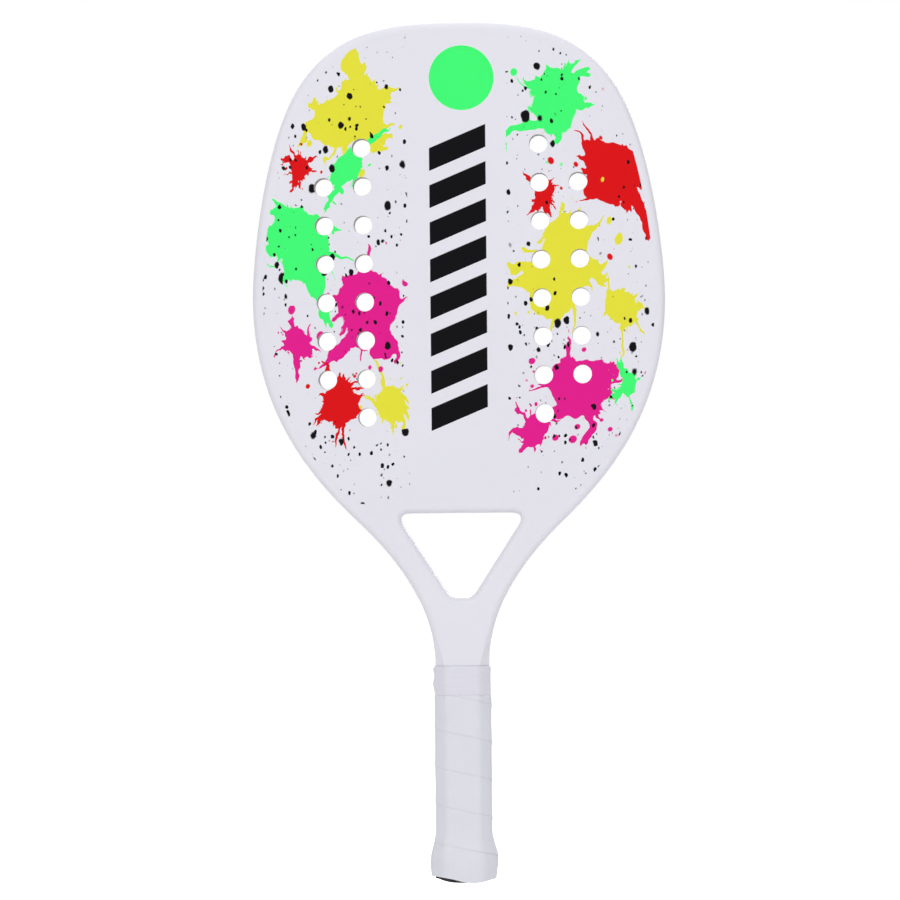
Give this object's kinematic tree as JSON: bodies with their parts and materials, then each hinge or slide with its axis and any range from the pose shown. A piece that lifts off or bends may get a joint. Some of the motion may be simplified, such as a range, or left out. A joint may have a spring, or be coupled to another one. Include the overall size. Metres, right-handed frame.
{
  "type": "beach tennis racket",
  "caption": "Beach tennis racket: foam-cored perforated head on a hollow moulded frame with an open triangular throat and a wound grip.",
  "frame": {"origin": "middle of the grip, on the racket's axis, where a hand holds it", "axes": "+Z along the racket from the butt to the tip, +X across the head, -Y out of the front face"},
  "size_m": [0.23, 0.0347, 0.48],
  "materials": {
    "white_lacquer": "glossy white lacquer over fibre composite",
    "printed_face": "glossy white lacquer with a paint-spatter print",
    "eva_foam": "closed-cell foam, matt",
    "handle_shell": "moulded, matt",
    "black_cap": "moulded black rubber-like plastic, satin",
    "staple_wire": "bright wire",
    "grip_strip": "white synthetic grip strip, soft and slightly tacky",
    "finishing_band": "thin stretched vinyl band, satin"
  },
  "bodies": {
    "root": {"frame_tube": "white_lacquer", "throat_bridge": "white_lacquer", "front_face": "printed_face", "back_face": "printed_face", "eva_core": "eva_foam", "leg_spacer": "eva_foam", "pallet_front": "handle_shell", "pallet_back": "handle_shell", "butt_cap": "black_cap", "cap_staple_1": "staple_wire", "cap_staple_2": "staple_wire", "cap_staple_3": "staple_wire", "cap_staple_4": "staple_wire", "grip_wrap": "grip_strip", "finishing_tape": "finishing_band"}
  },
  "joints": []
}
